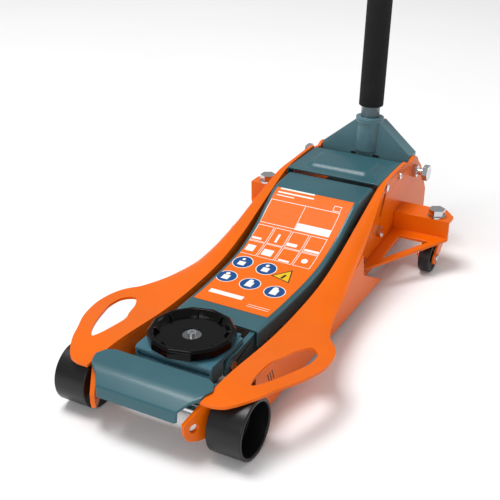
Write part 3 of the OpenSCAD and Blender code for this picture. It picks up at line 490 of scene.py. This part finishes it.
@dataclass
class Bench:
    """Where the finished pieces are made: places in the row frame, and the making of objects."""

    axle_x: float
    finishes: dict[str, bpy.types.Material] = field(default_factory=dict)

    def at(self, back: float, side: float, height: float) -> Vector:
        """A point in metres from millimetres behind the front axle, to the left and above the floor."""
        return Vector((self.axle_x - back * MM, side * MM, height * MM))

    def material(self, finish: "Finish | LabelPrint") -> bpy.types.Material:
        """The material of a finish, built once.

        Args:
            finish: The finish.

        Returns:
            Its material.
        """
        key = getattr(finish, "name", "label")
        if key not in self.finishes:
            self.finishes[key] = finish.shade()
        return self.finishes[key]

    def mesh(self, name: str, points: Sequence[Vector], faces: Sequence[Sequence[int]],
             smooth: bool = True) -> bpy.types.Object:
        """Makes a mesh object whose faces look the way that their points run.

        Args:
            name: The piece's name.
            points: Its points.
            faces: Its faces, as numbers of points.
            smooth: Whether it is shaded smooth.

        Returns:
            The object.
        """
        data = bpy.data.meshes.new(name)
        data.from_pydata([tuple(p) for p in points], [], [tuple(f) for f in faces])
        data.validate()
        data.polygons.foreach_set("use_smooth", [smooth] * len(data.polygons))
        data.update()
        obj = bpy.data.objects.new(name, data)
        bpy.context.scene.collection.objects.link(obj)
        return obj

    def loft(self, name: str, rows: Sequence[Sequence[Vector]], loop: bool = False,
             ends: bool = False) -> bpy.types.Object:
        """Makes a sheet or a closed body through rows of points.

        Args:
            name: The piece's name.
            rows: Rows of equal length.
            loop: Whether each row closes on itself.
            ends: Whether the first and last rows are capped.

        Returns:
            The object.
        """
        width = len(rows[0])
        points = [p for row in rows for p in row]
        faces = []
        for i in range(len(rows) - 1):
            for j in range(width if loop else width - 1):
                k = (j + 1) % width
                faces.append((i * width + j, i * width + k, (i + 1) * width + k, (i + 1) * width + j))
        if ends:
            faces.append(tuple(reversed(range(width))))
            faces.append(tuple((len(rows) - 1) * width + j for j in range(width)))
        return self.mesh(name, points, faces)

    def prism(self, name: str, *pairs: Sequence[Sequence[Vector]]) -> bpy.types.Object:
        """Makes straight bodies between pairs of matching outlines.

        Args:
            name: The piece's name.
            pairs: For each body, its first and its last outline.

        Returns:
            The object.
        """
        points, faces = [], []
        for start, end in pairs:
            first, count = len(points), len(start)
            points += [*start, *end]
            faces.append([first + i for i in range(count)])
            faces.append([first + count + i for i in reversed(range(count))])
            faces += [(first + i, first + count + i, first + count + (i + 1) % count,
                       first + (i + 1) % count) for i in range(count)]
        return self.mesh(name, points, faces, smooth=False)

    @staticmethod
    def face(obj: bpy.types.Object, aim: Vector) -> None:
        """Turns a sheet over if its faces look away from a direction.

        Args:
            obj: The sheet.
            aim: The direction.
        """
        if sum(p.normal.dot(aim) * p.area for p in obj.data.polygons) < 0:
            obj.data.flip_normals()

    def thicken(self, obj: bpy.types.Object, thickness: float, edge: float, angle: float = 40) -> None:
        """Gives a sheet its thickness below its faces, and rounds its edges.

        Args:
            obj: The sheet.
            thickness: Thickness in millimetres.
            edge: Radius of the rounded edges in millimetres.
            angle: Least angle in degrees that is rounded.
        """
        solid = obj.modifiers.new("thickness", "SOLIDIFY")
        solid.thickness = thickness * MM
        solid.offset = -1
        self.round_edges(obj, edge, angle)

    @staticmethod
    def round_edges(obj: bpy.types.Object, edge: float, angle: float = 30, segments: int = 3) -> None:
        """Rounds an object's sharp edges and evens its shading.

        Args:
            obj: The object.
            edge: Width of the rounding in millimetres.
            angle: Least angle in degrees that is rounded.
            segments: Faces across each rounding.
        """
        bevel = obj.modifiers.new("rounding", "BEVEL")
        bevel.width = edge * MM
        bevel.segments = segments
        bevel.limit_method = "ANGLE"
        bevel.angle_limit = math.radians(angle)
        even = obj.modifiers.new("shading", "WEIGHTED_NORMAL")
        even.mode = "FACE_AREA_WITH_ANGLE"
        even.keep_sharp = True

    def finish(self, obj: bpy.types.Object, finish: "Finish | LabelPrint", body: str, *nodes: str) -> None:
        """Dresses a made piece, sets it on its body and lets it stand for CAD nodes.

        Args:
            obj: The piece.
            finish: Its finish.
            body: The body that it rides on.
            nodes: The CAD nodes that it stands for.
        """
        obj.data.materials.clear()
        obj.data.materials.append(self.material(finish))
        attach(obj, body)
        getattr(finish, "slot", "label_print")
        if nodes:
            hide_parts(*nodes)
        log.info("%s: made, on %s, for %s", obj.name, body, ", ".join(nodes) or "no node")

    def dress(self, node: str, finish: "Finish | LabelPrint", edge: float = 0.8) -> None:
        """Rounds the edges of a CAD node that stays, and gives it its finish.

        Args:
            node: The node's name.
            finish: Its finish.
            edge: Width of the edge rounding in millimetres, or zero for none.
        """
        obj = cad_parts[node]
        data = obj.data
        for name in ("custom_normal", "sharp_edge", "sharp_face"):
            if name in data.attributes:
                data.attributes.remove(data.attributes[name])
        data.polygons.foreach_set("use_smooth", [True] * len(data.polygons))
        weld = obj.modifiers.new("weld", "WELD")
        weld.merge_threshold = 1e-5
        if edge:
            self.round_edges(obj, edge)
        data.materials.clear()
        data.materials.append(self.material(finish))
        log.info("%s: kept, %s", node, getattr(finish, "name", "label print"))


# ---------- sub-assemblies ----------


@dataclass
class Wing:
    """The fender-like pressing over a front roller, with its carrying hole. Millimetres."""

    bench: Bench
    side: int
    inner: float = 82
    widest: float = 176
    thickness: float = 4
    hole_ring: int = 9
    split: float = 168
    end: float = 620
    edge_drop: float = 9
    skirt_out: float = 112.5
    skirt_t: float = 4
    skirt_front: float = 44
    skirt_step: float = 384
    skirt_rear: float = 470
    skirt_low: float = 15
    step_high: float = 63
    slots: tuple[float, ...] = (78, 84, 90)
    slot_r: float = 1.1
    slot_low: float = 52
    slot_high: float = 66
    slot_lean: float = 2.5
    top: Curve = ((-40, 85), (0, 85), (22, 85), (149, 74), (238, 75), (300, 81.5), (356, 96.4),
                  (430, 123.8), (479, 142.9), (508, 152.9), (535, 157), (736, 157))
    edge: Curve = ((-37, 98), (-33, 109), (-26, 117), (-13, 127), (7, 139), (28, 148), (60, 163),
                   (86, 171), (105, 175), (118, 176), (137, 175), (155, 170), (167, 163), (178, 153),
                   (190, 146), (204, 141), (228, 134), (282, 124), (340, 115), (376, 111), (424, 105),
                   (480, 97), (530, 89), (633, 88))
    hole: Curve = ((22, 119), (30, 126), (45, 134), (65, 142), (90, 150), (110, 155), (130, 155),
                   (141, 150), (148, 140), (144, 134), (128, 125), (104, 118), (88, 112), (70, 111),
                   (40, 113), (26, 116))

    def reach(self, back: float) -> float:
        """Distance of the outer edge from the middle."""
        return smooth_along(self.edge, back)

    def height(self, back: float, side: float) -> float:
        """Height of the top face.

        Args:
            back: Distance behind the front axle.
            side: Distance from the middle.

        Returns:
            The height above the floor.
        """
        out = min(max((side - self.inner) / max(self.reach(back) - self.inner, 1), 0), 1)
        fade = min(max((back - 190) / 100, 0), 1) * min(max((513 - back) / 120, 0), 1)
        return smooth_along(self.top, back) - self.edge_drop * fade * out ** 3

    def hole_line(self) -> list[tuple[float, float]]:
        """The carrying hole's outline.

        Returns:
            A close smooth loop through the hole's points.
        """
        loop = []
        count = len(self.hole)
        for i in range(count):
            p = [self.hole[(i + k) % count] for k in (-1, 0, 1, 2)]
            for t in spread(0, 1, 8)[:-1]:
                loop.append(tuple(
                    0.5 * (2 * p[1][a] + (p[2][a] - p[0][a]) * t
                           + (2 * p[0][a] - 5 * p[1][a] + 4 * p[2][a] - p[3][a]) * t * t
                           + (3 * p[1][a] - p[0][a] - 3 * p[2][a] + p[3][a]) * t ** 3)
                    for a in (0, 1)))
        return loop

    def rim_line(self) -> tuple[list[tuple[float, float]], int]:
        """Outline of the front part of the wing.

        Returns:
            The loop, starting inside at the split, and the number of points across the split.
        """
        inner = [(b, self.inner) for b in spread(self.split, -37, 62)][:-1]
        front = [(-37, s) for s in spread(self.inner, self.reach(-37), 6)][:-1]
        backs = spread(0, 1, 76)
        outer = [(-37 + (self.split + 37) * t ** 1.25, self.reach(-37 + (self.split + 37) * t ** 1.25))
                 for t in backs][:-1]
        across = [(self.split, s) for s in spread(self.reach(self.split), self.inner, 20)][:-1]
        return inner + front + outer + across, 20

    @staticmethod
    def ray(loop: Sequence[tuple[float, float]], centre: tuple[float, float], aim: tuple[float, float]
            ) -> tuple[float, float]:
        """Where the ray from a centre towards a point leaves a loop.

        Args:
            loop: Points round the loop.
            centre: A point inside it.
            aim: The point that the ray is aimed at.

        Returns:
            The crossing.
        """
        dx, dy = aim[0] - centre[0], aim[1] - centre[1]
        best = 0.0
        for i, p in enumerate(loop):
            q = loop[(i + 1) % len(loop)]
            ex, ey = q[0] - p[0], q[1] - p[1]
            det = dx * -ey + ex * dy
            if abs(det) > 1e-12:
                px, py = p[0] - centre[0], p[1] - centre[1]
                t = (px * -ey + ex * py) / det
                u = (dx * py - dy * px) / det
                if t > 0 and -1e-9 <= u <= 1 + 1e-9:
                    best = max(best, t)
        return centre[0] + dx * best, centre[1] + dy * best

    def make(self) -> None:
        """Builds the wing's sheet, ringed round its carrying hole, and the skirt under it."""
        hole = self.hole_line()
        rim, across = self.rim_line()
        centre = (90, 133)
        start = [self.ray(hole, centre, p) for p in rim]
        plan = []
        for k in range(self.hole_ring + 1):
            t = k / self.hole_ring
            plan += [(a[0] + (b[0] - a[0]) * t, a[1] + (b[1] - a[1]) * t) for a, b in zip(start, rim)]
        count = len(rim)
        faces = [(k * count + j, k * count + (j + 1) % count,
                  (k + 1) * count + (j + 1) % count, (k + 1) * count + j)
                 for k in range(self.hole_ring) for j in range(count)]
        base = self.hole_ring * count
        seam = [base + (count - across + j) % count for j in range(across + 1)]
        backs = spread(self.split, self.end, 110)[1:]
        previous = seam
        for back in backs:
            row = []
            for s in spread(self.reach(back), self.inner, across):
                row.append(len(plan))
                plan.append((back, s))
            faces += [(previous[j], previous[j + 1], row[j + 1], row[j]) for j in range(across)]
            previous = row
        points = [self.bench.at(b, self.side * s, self.height(b, s)) for b, s in plan]
        if self.side < 0:
            faces = [tuple(reversed(f)) for f in faces]
        name = "wing_skin_left" if self.side > 0 else "wing_skin_right"
        sheet = self.bench.mesh(name, points, faces)
        self.bench.face(sheet, UP)
        self.bench.thicken(sheet, self.thickness, 1.7)
        node = "wing_left" if self.side > 0 else "wing_right"
        self.bench.finish(sheet, ORANGE, "chassis", node)
        self._skirt()

    def _skirt(self) -> None:
        """Builds the upright skirt under the wing, with the step at its rear."""
        drop, run = self.step_high - self.skirt_low, self.skirt_rear - self.skirt_step
        backs = spread(self.skirt_front, self.skirt_step, 57)
        backs += spread(self.skirt_step, self.skirt_rear, 12)[1:]
        rows = []
        for back in backs:
            if back <= self.skirt_step:
                top = self.height(back, self.skirt_out) - self.thickness / 2
            else:
                top = self.step_high - drop * (back - self.skirt_step) / run
            heights = spread(self.skirt_low, max(top, self.skirt_low + 0.6), 6)
            rows.append([self.bench.at(back, self.side * self.skirt_out, h) for h in heights])
        name = "skirt_left" if self.side > 0 else "skirt_right"
        sheet = self.bench.loft(name, rows)
        self.bench.face(sheet, Vector((0, self.side, 0)))
        self.bench.thicken(sheet, self.skirt_t, 1.2)
        self.bench.finish(sheet, ORANGE, "chassis")
        self._painted_slot_shade()

    def _painted_slot_shade(self) -> None:
        """Builds the short leaning slots on the skirt's outer face, filled with black as painted shade."""
        middle, half = (self.slot_low + self.slot_high) / 2, (self.slot_high - self.slot_low) / 2
        arcs = ((self.slot_high, 0, math.pi), (self.slot_low, math.pi, 2 * math.pi))
        pairs = []
        for back in self.slots:
            ring = [(back + self.slot_r * math.cos(a) - self.slot_lean * (h - middle) / half,
                     h + self.slot_r * math.sin(a)) for h, low, high in arcs for a in spread(low, high, 6)]
            pairs.append([[self.bench.at(b, self.side * (self.skirt_out + o), h) for b, h in ring]
                          for o in (0.15, -1.0)])
        name = "skirt_slots_painted_shade_left" if self.side > 0 else "skirt_slots_painted_shade_right"
        slots = self.bench.prism(name, *pairs)
        # The black fill is painted shade inside the pressed slots.
        self.bench.finish(slots, WHEEL, "chassis")


@dataclass
class Covers:
    """The pressed covers: one on the arm, one over the pump and one across the front. Millimetres."""

    bench: Bench
    arm_front: float = 139
    arm_rear: float = 506
    arm_front_half: float = 65
    arm_rear_half: float = 76
    arm_flange: float = 25
    fold: float = 6
    line: Curve = ((139, 82), (229, 81), (329, 90), (382, 109), (421, 131), (451, 147), (468, 150),
                   (506, 152))
    rear_front: float = 513
    rear_back: float = 620
    rear_half: float = 81.8
    rear_top: float = 157
    sheet_t: float = 3
    label_front: float = 177
    label_rear: float = 450
    label_margin: float = 7.5
    label_t: float = 0.5
    label_lift: float = 0.55

    def arm_height(self, back: float) -> float:
        """Height of the arm cover's top face."""
        return smooth_along(self.line, back)

    def arm_half(self, back: float) -> float:
        """Half the arm cover's width."""
        t = (back - self.arm_front) / (self.arm_rear - self.arm_front)
        return self.arm_front_half + (self.arm_rear_half - self.arm_front_half) * t

    def make(self) -> None:
        """Builds the arm cover, its label and the pump cover, and keeps the front cover."""
        rows = []
        for back in spread(self.arm_front, self.arm_rear, 90):
            half, top = self.arm_half(back), self.arm_height(back)
            section = [(half, top - self.arm_flange), (half, top - 15), (half, top - self.fold)]
            section += [(half - self.fold + self.fold * math.cos(a),
                         top - self.fold + self.fold * math.sin(a))
                        for a in spread(0, math.pi / 2, 6)[1:]]
            section += [(s, top) for s in spread(half - self.fold, 0, 5)[1:]]
            section += [(-s, h) for s, h in reversed(section[:-1])]
            rows.append([self.bench.at(back, s, h) for s, h in section])
        cover = self.bench.loft("arm_shell", rows)
        self.bench.face(cover, UP)
        self.bench.thicken(cover, self.sheet_t, 0.9)
        self.bench.finish(cover, TEAL, "lift_arm", "arm_cover")
        self._label()
        self._rear()
        self.bench.dress("front_cover", TEAL, 1.2)

    def _label(self) -> None:
        """Builds the printed sheet that lies on the arm cover."""
        rows = []
        for back in spread(self.label_front, self.label_rear, 70):
            half, top = self.arm_half(back) - self.label_margin, self.arm_height(back) + self.label_lift
            rows.append([self.bench.at(back, s, top) for s in spread(half, -half, 12)])
        label = self.bench.loft("arm_label_sheet", rows)
        self.bench.face(label, UP)
        self.bench.thicken(label, self.label_t, 0.15)
        self.bench.finish(label, LabelPrint(self.bench.axle_x), "lift_arm", "arm_label")

    def _rear(self) -> None:
        """Builds the pump cover with its wide raised pillow."""
        middle = (self.rear_front + self.rear_back) / 2
        boss_back, boss_side, corner, slope, rise = 36.0, 61.0, 18.0, 13.0, 6.0
        rows = []
        for back in spread(self.rear_front, self.rear_back, 64):
            section = [(self.rear_half, self.rear_top - 18), (self.rear_half, self.rear_top - 4)]
            section += [(self.rear_half - 4 + 4 * math.cos(a), self.rear_top - 4 + 4 * math.sin(a))
                        for a in spread(0, math.pi / 2, 5)[1:]]
            for s in spread(self.rear_half - 4, 0, 46)[1:]:
                across = max(abs(s) - boss_side + corner, 0)
                along = max(abs(back - middle) - boss_back + corner, 0)
                inside = corner - math.hypot(across, along)
                section.append((s, self.rear_top + rise * ease((inside + 1.5) / slope)))
            section += [(-s, h) for s, h in reversed(section[:-1])]
            rows.append([self.bench.at(back, s, h) for s, h in section])
        cover = self.bench.loft("pump_cover", rows)
        self.bench.face(cover, UP)
        self.bench.thicken(cover, self.sheet_t, 0.9)
        self.bench.finish(cover, TEAL, "chassis", "rear_cover")


@dataclass
class Handle:
    """The pumping handle's sleeve and grip, and details of its socket, on its leaning axis. Millimetres."""

    bench: Bench
    lean: float = math.radians(4.1)
    sleeve_low: float = 101
    sleeve_l: float = 280
    sleeve_r: float = 21
    tube_r: float = 16
    length: float = 1020
    grip_l: float = 140
    grip_r: float = 20
    rib: float = 12
    bead_middle: float = 20.4
    bead_up: float = 79
    bead_r: float = 3.9
    web_front: float = 9.9
    web_half: float = 15.5
    web_low: float = 2.2
    web_high: float = 23
    web_t: float = 3.4
    slot_up: float = 16
    slot_half: float = 25
    slot_r: float = 1.7
    turns: int = 48
    pivot: Vector = field(init=False)

    def __post_init__(self) -> None:
        """Finds the pivot in the middle of its bolts."""
        low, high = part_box("socket_bolts")
        self.pivot = Vector(((low.x + high.x) / 2, 0, (low.z + high.z) / 2))

    def lathe(self, name: str, profile: Curve, closed: bool = False) -> bpy.types.Object:
        """Turns a profile about the handle's axis.

        Args:
            name: The piece's name.
            profile: Radii and heights above the pivot.
            closed: Whether the profile is a ring that closes on itself.

        Returns:
            The object.
        """
        rows = []
        for radius, height in list(profile) + ([profile[0]] if closed else []):
            rows.append([self.from_pivot(radius * math.cos(a), radius * math.sin(a), height)
                         for a in spread(0, 2 * math.pi, self.turns)[:-1]])
        return self.bench.loft(name, rows, loop=True)

    def from_pivot(self, forward: float, left: float, up: float) -> Vector:
        """A point in metres from millimetres forward, to the left and up the leaning axis from its pivot."""
        return self.pivot + Matrix.Rotation(-self.lean, 3, "Y") @ (Vector((forward, left, up)) * MM)

    def make(self) -> None:
        """Builds the sleeve, the grip, and the socket's bead and front web."""
        low, high, radius = self.sleeve_low, self.sleeve_low + self.sleeve_l, self.sleeve_r
        inner, turn = self.tube_r + 0.05, 3
        quarter = spread(0, math.pi / 2, 5)[1:]
        profile = [(inner, low), (radius - turn, low)]
        profile += [(radius - turn + turn * math.sin(a), low + turn - turn * math.cos(a)) for a in quarter]
        profile += [(radius, h) for h in spread(low + turn, high - turn, 12)[1:]]
        profile += [(radius - turn + turn * math.cos(a), high - turn + turn * math.sin(a)) for a in quarter]
        profile += [(inner, high)]
        sleeve = self.lathe("foam_tube", profile, closed=True)
        self.bench.finish(sleeve, FOAM, "handle", "foam_sleeve")
        self._grip()
        self._bead()
        self._front_web()

    def _bead(self) -> None:
        """Builds the rounded bead round the top of the socket."""
        profile = [(self.bead_middle + self.bead_r * math.cos(a), self.bead_up + self.bead_r * math.sin(a))
                   for a in spread(0, 2 * math.pi, 16)[:-1]]
        bead = self.lathe("socket_bead", profile, closed=True)
        self.bench.finish(bead, SOCKET_PAINTED_LIGHT, "socket")

    def _front_web(self) -> None:
        """Builds the web that closes the socket's front under its tube, and the slot across it, filled with
        black as painted shade.
        """
        heights = spread(self.web_low, self.web_high, 6)
        rows = [[self.from_pivot(self.web_front, s, h) for h in heights]
                for s in spread(-self.web_half, self.web_half, 10)]
        web = self.bench.loft("socket_front_web", rows)
        self.bench.thicken(web, self.web_t, 0.2)
        self.bench.finish(web, SOCKET_PAINTED_LIGHT, "socket")
        arcs = ((self.slot_half, -math.pi / 2), (-self.slot_half, math.pi / 2))
        ring = [(side + self.slot_r * math.cos(a), self.slot_up + self.slot_r * math.sin(a))
                for side, low in arcs for a in spread(low, low + math.pi, 8)]
        outlines = [[self.from_pivot(x, s, h) for s, h in ring] for x in (10.35, 9.2)]
        slot = self.bench.prism("socket_slot_painted_shade", outlines)
        # The black fill is painted shade inside the slot.
        self.bench.finish(slot, WHEEL, "socket")

    def _grip(self) -> None:
        """Builds the ribbed grip with its rounded end."""
        low, high = self.length - self.grip_l, self.length
        inner = self.tube_r + 0.05
        profile = [(inner, high - 70), (inner, low), (self.grip_r, low), (self.grip_r, low + 6)]
        place = low + self.rib
        while place < high - 26:
            profile += [(self.grip_r - 1.6, place - 3.5), (self.grip_r - 1.6, place),
                        (self.grip_r - 0.2, place + 1.6), (self.grip_r - 0.2, place + 5.4)]
            place += self.rib
        profile += [(self.grip_r, high - 18), (self.grip_r, high - 5)]
        profile += [(self.grip_r - 5 + 5 * math.cos(a), high - 5 + 5 * math.sin(a))
                    for a in spread(0, math.pi / 2, 6)[1:]]
        profile += [(0.5, high)]
        grip = self.lathe("ribbed_grip", profile)
        self.bench.round_edges(grip, 0.5, 25, 2)
        self.bench.finish(grip, GRIP, "handle", "handle_grip")


@dataclass
class SaddlePad:
    """The saddle: a twelve-sided plate with a chamfered rim, a round dish and short ribs. Millimetres."""

    bench: Bench
    sides: int = 12
    radius: float = 56.5
    depth: float = 14
    chamfer: float = 2.5
    dish: float = 8
    stud_r: float = 5.95
    samples: int = 96
    ribs: int = 8
    middle: Vector = field(init=False)
    top: float = field(init=False)

    def __post_init__(self) -> None:
        """Finds the middle and the top of the saddle."""
        low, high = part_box("saddle")
        self.middle, self.top = (low + high) / 2, high.z / MM

    def ring(self, radius: float, height: float, flats: bool) -> list[Vector]:
        """A ring of points about the saddle's axis.

        Args:
            radius: Its radius, to the flats where it has them.
            height: Its height above the floor.
            flats: Whether it has flat sides.

        Returns:
            The points.
        """
        points = []
        part = 2 * math.pi / self.sides
        for i in range(self.samples):
            turn = 2 * math.pi * i / self.samples
            reach = radius / math.cos((turn % part) - part / 2) if flats else radius
            along, over = reach * math.cos(turn) * MM, reach * math.sin(turn) * MM
            points.append(Vector((self.middle.x + along, over, height * MM)))
        return points

    def make(self) -> None:
        """Builds the saddle and the ribs of its dish."""
        top, r = self.top, self.radius
        base, floor = top - self.depth, top - self.dish
        rows = [self.ring(self.stud_r, base - 16, False), self.ring(self.stud_r, base, False),
                self.ring(r - 1.5, base, True), self.ring(r, base + 1.5, True),
                self.ring(r, top - self.chamfer, True), self.ring(r - self.chamfer, top, True),
                self.ring(r - 5.5, top, False),
                self.ring(r - 8, top - 2.5, False), self.ring(r - 11.5, floor, False),
                self.ring(13, floor, False), self.ring(13, floor - 3, False),
                self.ring(3.2, floor - 3, False), self.ring(3.2, base - 2, False)]
        pad = self.bench.loft("saddle_pad", rows, loop=True, ends=True)
        self.bench.round_edges(pad, 0.6, 20, 2)
        self.bench.finish(pad, SADDLE, "saddle_plate", "saddle")
        self._ribs(floor)

    def _ribs(self, floor: float) -> None:
        """Builds the short upright ribs on the dish's wall.

        Args:
            floor: Height of the dish's floor.
        """
        top = self.top
        pairs = []
        profile = ((self.radius - 5, top - 0.6), (self.radius - 9.5, top - 0.9),
                   (self.radius - 15, floor + 0.4),
                   (self.radius - 15, floor - 0.4), (self.radius - 5, floor - 0.4))
        for number in range(self.ribs):
            turn = 2 * math.pi * (number + 0.5) / self.ribs
            along = Vector((math.cos(turn), math.sin(turn), 0))
            over = Vector((-math.sin(turn), math.cos(turn), 0))
            pairs.append([[Vector((self.middle.x, 0, height * MM)) + along * reach * MM + over * shift * MM
                           for reach, height in profile] for shift in (-1.3, 1.3)])
        ribs = self.bench.prism("saddle_ribs", *pairs)
        self.bench.round_edges(ribs, 0.5, 30, 2)
        self.bench.finish(ribs, SADDLE, "saddle_plate")


@dataclass
class KeptNodes:
    """The CAD nodes that stay as they are, each with its edge rounding and finish."""

    bench: Bench

    def make(self) -> None:
        """Dresses every node that no made piece stands for."""
        plan: list[tuple[Finish, float, tuple[str, ...]]] = [
            (ORANGE, 1.2, ("side_plate_left", "side_plate_right", "base_plate", "rear_spacer",
                           "pivot_block_left", "pivot_block_right", "reservoir")),
            (ORANGE, 1.4, ("caster_bracket_left", "caster_bracket_right",
                           "caster_fork_left", "caster_fork_right")),
            (ROLLER, 2.0, ("roller_left", "roller_right")),
            (WHEEL, 2.0, ("caster_wheel_left", "caster_wheel_right")),
            (TEAL, 1.0, ("arm_side_left", "arm_side_right")),
            (SOCKET_PAINTED_LIGHT, 1.0, ("handle_socket",)),
            (TEAL_CAST, 2.0, ("saddle_carrier", "arm_crank")),
            (WHEEL, 0.6, ("filler_plug",)),
            (TUBE, 0.0, ("handle_tube",)),
            (DARK_STEEL, 1.0, ("level_link_left", "level_link_right", "ram_yoke",
                               "ram_cylinder", "pump_body")),
            (LINING, 0.3, ("saddle_washer",)),
            (ZINC, 0.5, ("front_axle", "axle_rings", "cover_screws", "base_bolts", "pivot_block_bolts",
                         "arm_shaft", "link_anchors", "kingpins", "caster_axle_left",
                         "caster_axle_right", "crank_pin", "nose_pin", "link_pin", "saddle_screw",
                         "ram", "cylinder_gland", "plunger_left", "plunger_right", "release_valve",
                         "socket_rollers", "socket_bolts", "release_drive")),
        ]
        for finish, edge, nodes in plan:
            for node in nodes:
                self.bench.dress(node, finish, edge)


@dataclass
class Studio:
    """A plain pale floor, soft light and the camera. Metres."""

    bench: Bench
    eye: tuple[float, float, float] = (0.8086, 0.57005, 0.74362)
    forward: tuple[float, float, float] = (-0.7837, -0.4280, -0.4501)
    right: tuple[float, float, float] = (-0.4793, 0.8777, 0.0)
    lens: float = 68.4
    floor_half: float = 6.0

    def make(self) -> None:
        """Sets up the floor, the lights, the world and the camera."""
        self._floor()
        self._camera()
        self._lamp("top", (0.4, -1.3, 4.6), (-0.3, 0, 0.1), 2.0, 160)
        self._lamp("front", (2.2, 0.2, 1.0), (-0.2, 0, 0.1), 0.8, 11)
        self._lamp("back", (-1.6, 1.5, 1.6), (-0.1, 0, 0.1), 0.8, 6)
        world = bpy.data.worlds.new("soft_room")
        bpy.context.scene.world = world
        world.use_nodes = True
        ground = world.node_tree.nodes["Background"]
        ground.inputs["Color"].default_value = (1, 1, 1, 1)
        ground.inputs["Strength"].default_value = 0.4
        bpy.context.scene.view_settings.view_transform = "Standard"

    def _floor(self) -> None:
        """Lays the floor with a faint tone."""
        half = self.floor_half
        signs = ((-1, -1), (1, -1), (1, 1), (-1, 1))
        corners = [Vector((x * half, y * half, 0)) for x, y in signs]
        floor = self.bench.mesh("studio_floor", corners, [(0, 1, 2, 3)], smooth=False)
        shader = Shader("pale_floor")
        tone = shader.mix(shader.noise(3, 2), (0.93, 0.93, 0.93), (0.96, 0.96, 0.96))
        shader.set(Base_Color=tone, Roughness=0.8, Specular_IOR_Level=0.0)
        floor.data.materials.append(shader.material)

    def _camera(self) -> None:
        """Places the camera by its eye and the directions that it faces."""
        data = bpy.data.cameras.new("view_camera")
        data.lens, data.sensor_width = self.lens, 36
        data.clip_end = 50
        camera = bpy.data.objects.new("view_camera", data)
        bpy.context.scene.collection.objects.link(camera)
        forward, right = Vector(self.forward).normalized(), Vector(self.right).normalized()
        turn = Matrix((right, right.cross(forward), -forward)).transposed().to_4x4()
        eye = Vector((self.bench.axle_x + self.eye[0], self.eye[1], self.eye[2]))
        camera.matrix_world = Matrix.Translation(eye) @ turn
        bpy.context.scene.camera = camera

    @staticmethod
    def _lamp(name: str, place: Colour, aim: Colour, size: float, power: float) -> None:
        """Adds a square soft light.

        Args:
            name: The light's name.
            place: Where it stands.
            aim: The point that it faces.
            size: Length of its side.
            power: Its power in watts.
        """
        data = bpy.data.lights.new(name, "AREA")
        data.size, data.energy = size, power
        lamp = bpy.data.objects.new(name, data)
        bpy.context.scene.collection.objects.link(lamp)
        lamp.location = place
        lamp.rotation_euler = (Vector(aim) - Vector(place)).to_track_quat("-Z", "Y").to_euler()


def main() -> None:
    """Builds every sub-assembly in order."""
    logging.basicConfig(level=logging.INFO, format="%(name)s: %(message)s")
    low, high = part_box("front_axle")
    bench = Bench(axle_x=(low.x + high.x) / 2)
    Studio(bench).make()
    for side in (1, -1):
        Wing(bench, side).make()
    Covers(bench).make()
    Handle(bench).make()
    SaddlePad(bench).make()
    KeptNodes(bench).make()


if __name__ == "__main__":
    main()
